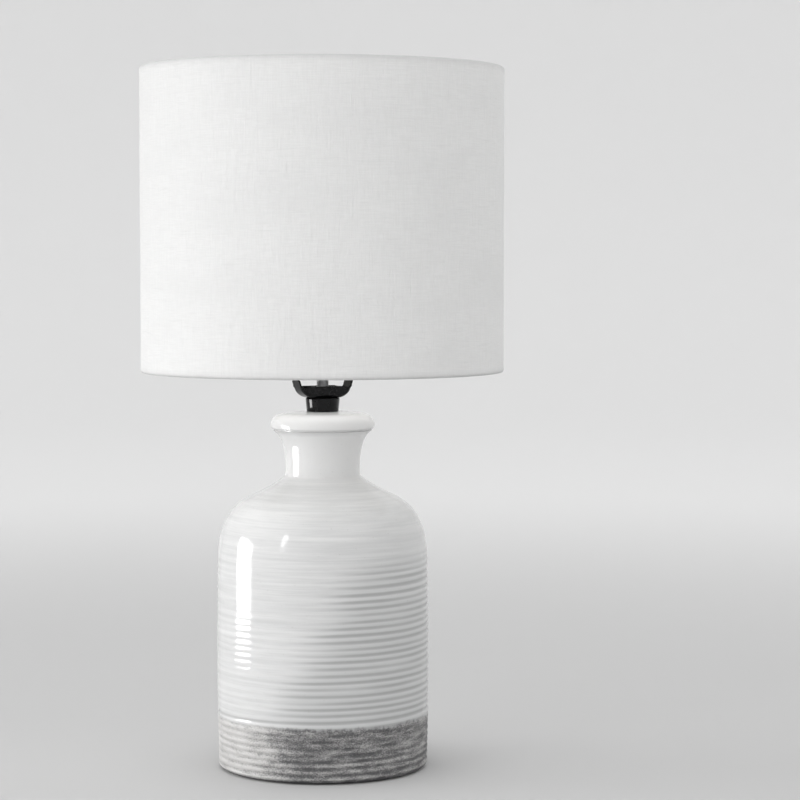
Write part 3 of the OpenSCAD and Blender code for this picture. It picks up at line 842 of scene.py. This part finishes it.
shell_rows = rows(SHELL_R, SHELL_Z + 0.2, SHELL_TOP - 1.4, 0.25)
shell_out = [(beaded(r, z), z) for r, z in shell_rows]
shell_in = [(beaded(r, z) - SHELL_T, z) for r, z in shell_rows[::-1]]
shell_lip = bezier((SHELL_R, SHELL_TOP - 1.2), (SHELL_R, SHELL_TOP - 0.2), (SHELL_R - 0.5, SHELL_TOP),
                   (SHELL_R - 1.0, SHELL_TOP), 6)
shell_lip += [(SHELL_R - 1.3, SHELL_TOP - 0.2), (SHELL_R - 1.2, SHELL_TOP - 0.5), (SHELL_R - 0.7, SHELL_TOP - 0.7)]
shell = lathe("socket_shell_beaded", shell_out + shell_lip + shell_in, columns=144)
SWITCH_Z = middle("switch_shaft", "z")
SWITCH_HOLE = 4.5
combine(shell, rod((0, -10, SWITCH_Z), (0, -22, SWITCH_Z), SWITCH_HOLE, 64))
add(shell, "base", "nickel", "socket_shell")

E26_PITCH = 25.4 / 7
E26_WALL_FROM = 10.5
SCREW_Z, SCREW_TOP = span("screw_shell", "z")
SCREW_R = 13.4
SCREW_WAVE = 0.495
wall = rows(SCREW_R, SCREW_Z + 1, SCREW_TOP - 0.3, 0.3)
screw_outline = (
    [(7, SCREW_Z), (SCREW_R - 0.6, SCREW_Z), (SCREW_R + 0.2, SCREW_Z + 0.3)]
    + [(r + 0.35, z) for r, z in wall]
    + [(SCREW_R + 0.2, SCREW_TOP)]
    + [(r, z) for r, z in wall[::-1]]
    + [(SCREW_R - 0.7, SCREW_Z + 0.5), (7, SCREW_Z + 0.5)]
)
screw_shape = thread(E26_WALL_FROM, E26_PITCH, SCREW_Z + 1, SCREW_TOP - 1, 2, lambda wave: SCREW_WAVE * (1 - wave))
add(lathe("screw_shell_threaded", screw_outline, shape=screw_shape, sharp_deg=50), "base", "brass", "screw_shell")


def turned_knob():
    """Turn knob with twelve grip flutes, a domed end and a fine turned line round its skirt."""
    tip, root = span("switch_knob", "y")
    length, r, shaft = root - tip, span("switch_knob", "x")[1], 2.2
    walls = [(r, 0.8 + (length - 3) * i / 40) for i in range(41)]
    dome = bezier(walls[-1], (r, length - 0.8), (r * 0.7, length), (r * 0.3, length), 10)
    outline = [(shaft, 0), (r - 0.6, 0), (r - 0.2, 0.2)] + walls[:-1] + dome
    outline += [(r * 0.3, length), (0, length), (0, 6), (shaft, 6)]

    def shape(rr, z, angle):
        reach = clamp((z - 2.6) / 1.6)
        flute = max(0.0, cos(12 * angle)) ** 1.5
        deep = 0.55 * reach * flute * min(1.0, rr / r * 1.2)
        line = 0.18 if abs(z - 1.7) < 0.25 and rr > r * 0.9 else 0
        return rr - deep * (rr > r * 0.5) - line, z

    return lathe("switch_knob_fluted", outline, columns=144, shape=shape, sharp_deg=45,
                 axis=(0, -1, 0), start=(0, root, SWITCH_Z))


add(turned_knob(), "switch", "black_plastic", "switch_knob")


# ---- bulb

BULB_Z = span("bulb_contact", "z")[0]
GLOBE_R = span("bulb_globe", "x")[1]
GLOBE_Z = span("bulb_globe", "z")[1] - GLOBE_R
GLOBE_START = -32
GLASS_NECK = 12.2
GLASS_T = 0.8


def glass(inset):
    """Outside of the glass from its neck to the top, inset by a wall."""
    r, neck, start = GLOBE_R - inset, GLASS_NECK - inset, radians(GLOBE_START)
    join = (r * cos(start), GLOBE_Z + r * sin(start))
    points = [(neck, BULB_Z + 20), (neck, BULB_Z + 24.5)]
    points += bezier((neck, BULB_Z + 29), (neck, BULB_Z + 40), (join[0] - 6, join[1] - 10), join, 20) + [join]
    return points + arc((0, GLOBE_Z), r, GLOBE_START, 90 - GLOBE_START, 40)


add(lathe("bulb_glass", glass(0) + glass(GLASS_T)[::-1]), "bulb", "frosted_glass", "bulb_globe")

CAP_R = 12.9
CAP_GROOVE = 0.62
cap_base = BULB_Z + 4
cap_top = span("bulb_cap", "z")[1]
cap_wall = rows(CAP_R, cap_base + 2.2, cap_top - 0.4, 0.3)
cap_metal = (
    [(8, cap_base), (11.4, cap_base), (12.3, cap_base + 0.7)]
    + cap_wall
    + [(CAP_R - 0.1, cap_top), (CAP_R - 0.4, cap_top)]
    + [(r - 0.4, z) for r, z in cap_wall[::-1]]
    + [(11.9, cap_base + 1.0), (11.2, cap_base + 0.4), (8, cap_base + 0.4)]
)
cap_shape = thread(12.0, E26_PITCH, cap_base + 1.5, cap_base + 19.5, 1.6, lambda wave: -CAP_GROOVE * wave)
bulb_metal = lathe("bulb_cap_threaded", cap_metal, shape=cap_shape, sharp_deg=50)
add(bulb_metal, "bulb", "bulb_aluminium", "bulb_cap")

glass_outline = rounded([(0, 1.5, 0), (4.8, 1.5, 0.5), (11, 4, 0.4), (7.8, 4, 0), (7.8, 5.4, 0.2), (0, 5.4, 0)])
add(lathe("bulb_base_glass", glass_outline, start=(0, 0, BULB_Z)), "bulb", "black_glass", "bulb_insulator")

solder_outline = [(0, BULB_Z), (2.2, BULB_Z + 0.05), (3.6, BULB_Z + 0.35), (4.4, BULB_Z + 0.95)]
solder_outline += [(4.6, BULB_Z + 1.5), (0, BULB_Z + 1.5)]
solder = lathe("bulb_solder", solder_outline, columns=64, shape=uneven_edge(0.05, 2, 300))
add(solder, "bulb", "solder", "bulb_contact")


# ---- harp

HARP_WIRE = 2.4
HARP_FEET = 25.4
HARP_LEG = 48.8
HARP_BEND_A = 40
HARP_BEND_R = (HARP_LEG - HARP_FEET) / (2 * (1 - cos(radians(HARP_BEND_A))))
HARP_FOOT_R = 4.3
HARP_FOOT_H = 10
HARP_CROWN_R = 42
EYE_R = 8.5
EYE_T = 4.4
SWIVEL_NECK = 3.2
CROWN_Z = HARP_TOP - EYE_T / 2
LEG_START = HARP_Z + HARP_FOOT_H
LEG_BEND = LEG_START + 26
LEG_UPRIGHT = LEG_BEND + 2 * HARP_BEND_R * sin(radians(HARP_BEND_A))


def harp_leg():
    """Middle of the wire from one foot up to the crown, as (x, z)."""
    path = [(HARP_FEET, LEG_START - 3), (HARP_FEET, LEG_START + 8), (HARP_FEET, LEG_BEND - 6), (HARP_FEET, LEG_BEND)]
    path += arc((HARP_FEET + HARP_BEND_R, LEG_BEND), HARP_BEND_R, 180, -HARP_BEND_A, 20)
    path += arc((HARP_LEG - HARP_BEND_R, LEG_UPRIGHT), HARP_BEND_R, -HARP_BEND_A, HARP_BEND_A, 20)
    path += [(HARP_LEG, LEG_UPRIGHT + 26), (HARP_LEG, CROWN_Z - HARP_CROWN_R)]
    path += arc((HARP_LEG - HARP_CROWN_R, CROWN_Z - HARP_CROWN_R), HARP_CROWN_R, 0, 90, 40)
    return path


def harp():
    """Bent wire with a slotted foot at each end and a bored eye at the crown."""
    leg = harp_leg()
    path = leg + [(-x, z) for x, z in leg[::-1]]
    wire = sweep("harp_bent_wire", [(x, 0, z) for x, z in path], lambda i: circle(HARP_WIRE, 24))
    foot_outline = rounded([
        (0, HARP_Z, 0), (HARP_FOOT_R, HARP_Z, 0.6), (HARP_FOOT_R, HARP_Z + HARP_FOOT_H - 1.2, 0.9),
        (HARP_WIRE + 0.2, LEG_START, 1.0), (0, LEG_START, 0),
    ], 5)
    for side in (1, -1):
        middle_x = side * HARP_FEET
        combine(wire, lathe("foot", foot_outline, columns=48, start=(middle_x, 0, 0)), "UNION")
        half_x, half_y = (SHEET_T + 0.4) / 2, (TONGUE_W + 0.4) / 2
        across = [(-half_x, -half_y), (half_x, -half_y), (half_x, half_y), (-half_x, half_y)]
        tongue = [(middle_x, 0, HARP_Z - 2), (middle_x, 0, SADDLE_TOP + 0.3)]
        combine(wire, sweep("slot", tongue, lambda i: across))
    low, high = CROWN_Z - EYE_T / 2, CROWN_Z + EYE_T / 2
    combine(wire, lathe("eye", ring_outline(0, EYE_R, low, high, 0, 1.3, 5), columns=72), "UNION")
    return combine(wire, rod((0, 0, low - 2), (0, 0, high + 2), SWIVEL_NECK + 0.05, 48))


add(harp(), "harp", "black_enamel", "harp_wire")


def ferrule(name, body, node):
    """Sliding sleeve over a harp foot, with a rounded bead at each end."""
    x, (base, top) = middle(node, "x"), span(node, "z")
    r, height, bore = span(node, "x")[1] - x, top - base, HARP_FOOT_R + 0.3
    outer = []
    for i in range(61):
        z = height * i / 60
        edge = min(z, height - z)
        bead = 0.25 * (1 - sin(pi / 2 * min(1, edge / 0.7)))
        waist = 0.22 * exp(-(((edge - 2.1) / 0.5) ** 2)) + (0.12 if edge > 2.1 else 0)
        outer.append((r - bead - waist, z))
    outline = [(bore + 0.25, 0)] + outer + [(bore + 0.25, height), (bore, height - 0.3), (bore, 0.3)]
    add(lathe(name, outline, columns=64, start=(x, 0, base)), body, "black_enamel", node)


ferrule("ferrule_sleeve_left", "left_ferrule", "ferrule_left")
ferrule("ferrule_sleeve_right", "right_ferrule", "ferrule_right")

HUB_Z = span("spider_hub", "z")[0]
SWIVEL_BASE, STUD_TOP = span("harp_swivel", "z")
STUD_R = 3.175
STUD_PITCH = 25.4 / 27
STUD_THREAD = 0.32
stud_rows = rows(STUD_R, HUB_Z + 0.4, STUD_TOP - 0.7, STUD_PITCH / 7)
swivel_outline = rounded([
    (0, SWIVEL_BASE, 0), (3.4, SWIVEL_BASE, 0.6), (5.6, SWIVEL_BASE + 0.7, 0.5), (6.0, SWIVEL_BASE + 1.6, 0.5),
    (6.0, SWIVEL_BASE + 3, 0.3), (SWIVEL_NECK, SWIVEL_BASE + 3, 0.1), (SWIVEL_NECK, HUB_Z - 2.3, 0.1),
    (7.0, HUB_Z - 2.3, 0.3), (7.5, HUB_Z - 1.8, 0.3), (7.5, HUB_Z, 0.4), (STUD_R, HUB_Z, 0),
], 3)
swivel_outline += stud_rows + [(STUD_R - 0.6, STUD_TOP), (0, STUD_TOP)]
swivel_shape = machine_thread(STUD_R, STUD_PITCH, STUD_THREAD, HUB_Z + 0.5, STUD_TOP)
swivel = lathe("harp_swivel_stud", swivel_outline, columns=64, sharp_deg=50, shape=swivel_shape)
add(swivel, "swivel", "brass", "harp_swivel")


# ---- shade

SHADE_R = span("shade_fabric", "x")[1]
SHADE_LOW, SHADE_TOP = span("shade_fabric", "z")
LINEN_T = 0.8
RING_WIRE = 1.45
RING_R = SHADE_R - LINEN_T - RING_WIRE - 0.05
HEM_H = 6.2
HEM_LIP = 1.6
SEAM_LAP = 10
SEAM_AT = 88
BACKING_SEAM_AT = 86


def shade_outline():
    """Section through the linen: up the outside, over each ring wire and down behind it."""
    outer, inner = RING_WIRE + LINEN_T + 0.05, RING_WIRE + 0.05
    low_z, top_z = SHADE_LOW + outer, SHADE_TOP - outer

    def curl(r, centre_z, side, turn):
        found = []
        for i in range(13):
            a = pi * i / 12
            a = a if turn > 0 else pi - a
            found.append((RING_R + r * cos(a), centre_z + side * r * sin(a)))
        return found

    def cut_edge(z, way):
        z += way * HEM_LIP
        return [(RING_R - outer, z), (RING_R - outer + 0.4, z + way * 0.25), (RING_R - inner, z)]

    points = rows(RING_R + outer, low_z, top_z, 1.25)
    points += curl(outer, top_z, 1, 1)
    points += cut_edge(top_z, -1)
    points += curl(inner, top_z, 1, -1)
    points += rows(RING_R + inner, low_z, top_z, 2.5)[::-1]
    points += curl(inner, low_z, -1, 1)
    points += cut_edge(low_z, 1)[::-1]
    points += curl(outer, low_z, -1, -1)
    clean = [points[0]]
    for p in points[1:]:
        if (Vector(p) - Vector(clean[-1])).length > 0.01:
            clean.append(p)
    return clean


def lap(angle, at, width):
    """Distance round the drum from the start of a glued overlap, or None outside it."""
    around = ((angle - radians(at) + pi) % TAU - pi) * SHADE_R
    return around if 0 <= around <= width else None


def linen_drum():
    """The linen: slightly rippled, thicker over its lap and its turned hems, with the hems' painted shade kept for
    each point.
    """
    columns = 720
    outline = shade_outline()
    verts, folded = [], []
    for r, z in outline:
        outside = r > SHADE_R - 0.1
        edge = min(z - SHADE_LOW, SHADE_TOP - z)
        for k in range(columns):
            angle = TAU * k / columns
            way = Vector(polar(1, angle))
            at = Vector((way.x, way.y, z / 150))
            ripple = 0.16 * noise.noise(at * 5) + 0.07 * noise.noise(at * 19)
            pucker = 0.09 * noise.noise(Vector((way.x * 34, way.y * 34, z / 24)))
            raised = 0.0
            if outside:
                on_lap = lap(angle, SEAM_AT, SEAM_LAP)
                if on_lap is not None:
                    raised = 0.42 * min(1.0, on_lap / 0.9, (SEAM_LAP - on_lap) / 3.5)
            turn_in = HEM_H + 0.9 * noise.noise(way * 9 + Vector((0, 0, round(z / 400))))
            soft = clamp((turn_in - edge) / 2.0)
            # Painted shade of the hems: darker where the linen is doubled, darkest along the rolled edges.
            tone = 0.16 * soft + 0.84 * clamp((3.0 - edge) / 2.4)
            if outside:
                raised += 0.14 * soft
            rr = r + (ripple + pucker) * min(1.0, 0.35 + edge / 20) + raised
            low = 0.10 * noise.noise(way * 11 + Vector((0, 0, 3 if z < 460 else 9)))
            verts.append((rr * way.x, rr * way.y, z + low))
            folded.append(tone)
    return mesh_object("linen_drum", verts, grid_faces(len(outline), columns, True), 60, folded=folded)


linen_shade = linen_drum()
add(linen_shade, "shade", "linen", "shade_fabric")


def backing():
    """White styrene sheet inside the linen, rolled to a drum with a glued overlap at the back."""
    r_out, thick, lap_w = span("shade_liner", "x")[1], 0.4, 12
    low, high = span("shade_liner", "z")
    outline = rows(r_out, low, high, 12) + rows(r_out - thick, low, high, 12)[::-1]

    def shape(r, z, angle):
        on_lap = lap(angle, BACKING_SEAM_AT, lap_w)
        if on_lap is None or r > r_out - thick / 2:
            return r, z
        return r - thick * min(1.0, on_lap / 0.6, (lap_w - on_lap) / 0.6), z

    return lathe("styrene_backing", outline, columns=720, shape=shape, sharp_deg=45)


add(backing(), "shade", "styrene", "shade_liner")

ARM_WIRE = 1.6
ARM_END_R = RING_R - 0.9
ARM_END_Z = SHADE_TOP - 5
ARM_Z = HUB_Z + 1.8
HUB_R = 10
ARM_KNEE_R = ARM_END_R - (ARM_END_Z - ARM_Z)
KNEE_EASE = 9


def spider_arm(turn):
    """One arm: level wire from the hub, a rounded knee, then up to the ring, with a weld at each end."""
    start, knee, end = HUB_R - 1.6, (ARM_KNEE_R, ARM_Z), (ARM_END_R + 0.5, ARM_END_Z + 0.5)
    upward = (Vector(end) - Vector(knee)).normalized()
    after = Vector(knee) + upward * KNEE_EASE
    path = [(start + i * 0.7, ARM_Z) for i in range(7)] + [(60, ARM_Z), (110, ARM_Z)]
    path += bezier((knee[0] - KNEE_EASE, ARM_Z), (knee[0] - 3, ARM_Z), tuple(after - upward * 6), tuple(after), 14)
    length = (Vector(end) - after).length
    path += [tuple(after + upward * length * t) for t in (0, 0.3, 0.6, 0.75, 0.82, 0.88, 0.93, 0.97, 1)]
    hub_weld, ring_weld = (0.8, 1.3, 1.45, 1.3, 1.1), (1.15, 1.35, 1.42, 1.25, 0.95, 0.55)
    bare_wire = (1.0,) * (len(path) - len(hub_weld) - len(ring_weld))
    radii = [ARM_WIRE * k for k in hub_weld + bare_wire + ring_weld]
    arm = sweep("arm", [(x, 0, z) for x, z in path], lambda i: circle(radii[i], 20), sharp_deg=60)
    arm.data.transform(Matrix.Rotation(radians(turn), 4, "Z"))
    return arm


def spider():
    """The three arms in one mesh."""
    arms = [spider_arm(turn) for turn in (90, 210, 330)]
    work = bmesh.new()
    for arm in arms:
        work.from_mesh(arm.data)
        bpy.data.objects.remove(arm)
    mesh = bpy.data.meshes.new("spider_bent_arms")
    work.to_mesh(mesh)
    work.free()
    return finish_mesh(put_in_scene("spider_bent_arms", mesh), 60)


add(spider(), "shade", "white_enamel", "spider_arms")

HUB_BORE = STUD_R + 0.25
HUB_T = 3.6
hub_outline = ring_outline(HUB_BORE, HUB_R, 0, HUB_T, 0.3, 0.9)
add(lathe("spider_hub_washer", hub_outline, start=(0, 0, HUB_Z)), "shade", "white_enamel", "spider_hub")


def ring(name, node):
    """Round wire ring of the shade."""
    z = middle(node, "z")
    wire = span(node, "z")[1] - z
    r = span(node, "x")[1] - wire
    section = [(r + x, z + y) for x, y in circle(wire)]
    return add(lathe(name, section, columns=360, sharp_deg=60), "shade", "white_enamel", node)


rings = [ring("upper_shade_ring", "top_ring"), ring("lower_shade_ring", "bottom_ring")]

FINIAL_Z = span("finial_knob", "z")[0]
FINIAL_BORE = 4.5
BORE_TOP = 12
BALL_R = 8
BALL_Z = 13
BALL_START = -46
a = radians(BALL_START)
ball_low = (BALL_R * cos(a), BALL_Z + BALL_R * sin(a))
finial_outline = rounded([(FINIAL_BORE, 0, 0.2), (8.4, 0, 0.4), (8.8, 0.9, 0.6), (8.2, 1.9, 0.4)])
finial_outline += bezier((8.2, 1.9), (6.4, 2.6), (5.4, 4.4), ball_low, 12) + [ball_low]
finial_outline += arc((0, BALL_Z), BALL_R, BALL_START, 90 - BALL_START, 30) + [(0, BORE_TOP), (FINIAL_BORE, BORE_TOP)]
finial = lathe("finial_ball", finial_outline, sharp_deg=45, start=(0, 0, FINIAL_Z))
add(finial, "finial", "black_enamel", "finial_knob")


# ---- stage, light and camera

WORLD_STRENGTH = 1.09
VIEW_LENS = 117
VIEW_DISTANCE = 2.191
VIEW_HEIGHT = 0.433
VIEW_ASIDE = 0.0298
VIEW_DOWN = radians(3.2)


def beside(angle_deg, distance, height):
    """Point at an angle round the lamp from the camera's side, where positive is to the camera's right."""
    a = VIEW_FROM + radians(angle_deg)
    return Vector((distance * sin(a), -distance * cos(a), height))


def cyclorama():
    """Pale studio floor that rises into a wall all round."""
    wall_foot, wall_top = (6500, 2100), (6600, 4900)
    rise = bezier((4200, 0), (5700, 0), (6300, 500), wall_foot, 20)
    profile = [(0, 0), (600, 0), (1400, 0), (2800, 0)] + rise + [wall_foot, wall_top]
    verts = [(0, 0, 0)]
    columns = 128
    for r, z in profile[1:]:
        for k in range(columns):
            verts.append(polar(r, TAU * k / columns, z))
    faces = [(1 + k, 1 + (k + 1) % columns, 0) for k in range(columns)]
    faces += [tuple(1 + v for v in quad) for quad in grid_faces(len(profile) - 1, columns, False)]
    obj = mesh_object("studio_floor", verts, faces, 180)
    s = Surface("studio_paint", Specular_IOR_Level=0.0)
    x, y, _ = s.xyz()
    out = s.math("SQRT", s.plus(s.times(x, x), s.times(y, y)))
    s.finish(s.mix(s.steps(out, 0.6, 2.6), (0.60, 0.60, 0.60), (0.82, 0.82, 0.82)), 1.0)
    paint(obj, "studio_paint")


def area_light(name, place, size, power, aim, spread_deg=180, diffuse=True, glossy=True):
    """Soft panel light facing a point; panels never show to the camera."""
    lamp = bpy.data.lights.new(name, "AREA")
    lamp.shape = "RECTANGLE"
    lamp.size, lamp.size_y = size
    lamp.energy = power
    lamp.spread = radians(spread_deg)
    obj = put_in_scene(name, lamp)
    obj.location = place
    obj.rotation_mode = "QUATERNION"
    obj.rotation_quaternion = (Vector(aim) - Vector(place)).to_track_quat("-Z", "Y")
    obj.visible_camera = False
    obj.visible_diffuse = diffuse
    obj.visible_glossy = glossy


cyclorama()
area_light("window_left", beside(-95, 2.4, 0.75), (1.2, 1.0), 1.15, (0, 0, 0.30), 60, glossy=False)
area_light("soft_low_left", beside(-84, 1.2, 0.24), (0.3, 0.25), 0.055, (0, 0, 0.10), 30, glossy=False)
area_light("soft_front_left", beside(-48, 1.5, 0.26), (0.8, 0.5), 4.2, (0, 0, 0.22), glossy=False)
area_light("shoulder_glint", beside(-45, 2.0, 0.98), (0.16, 0.60), 3.6, (0, 0, 0.2), diffuse=False)
area_light("window_glint", beside(-89, 0.50, 0.175), (0.18, 0.25), 2.9, (0, 0, 0.175), diffuse=False)
area_light("under_shade", (0, 0, SHADE_LOW * MM + 0.006), (0.19, 0.19), 0.08, (0, 0, 0), glossy=False)

world = bpy.data.worlds.new("studio")
world.use_nodes = True
background = world.node_tree.nodes["Background"].inputs
background["Color"].default_value = (1, 1, 1, 1)
background["Strength"].default_value = WORLD_STRENGTH
bpy.context.scene.world = world
bpy.context.scene.view_settings.view_transform = "Standard"

camera_data = bpy.data.cameras.new("camera")
camera_data.lens = VIEW_LENS
camera_data.sensor_width = 36
camera = put_in_scene("camera", camera_data)
camera.location = beside(0, VIEW_DISTANCE, VIEW_HEIGHT)
camera.rotation_euler = (pi / 2 - VIEW_DOWN, 0, VIEW_FROM - VIEW_ASIDE)
bpy.context.scene.camera = camera
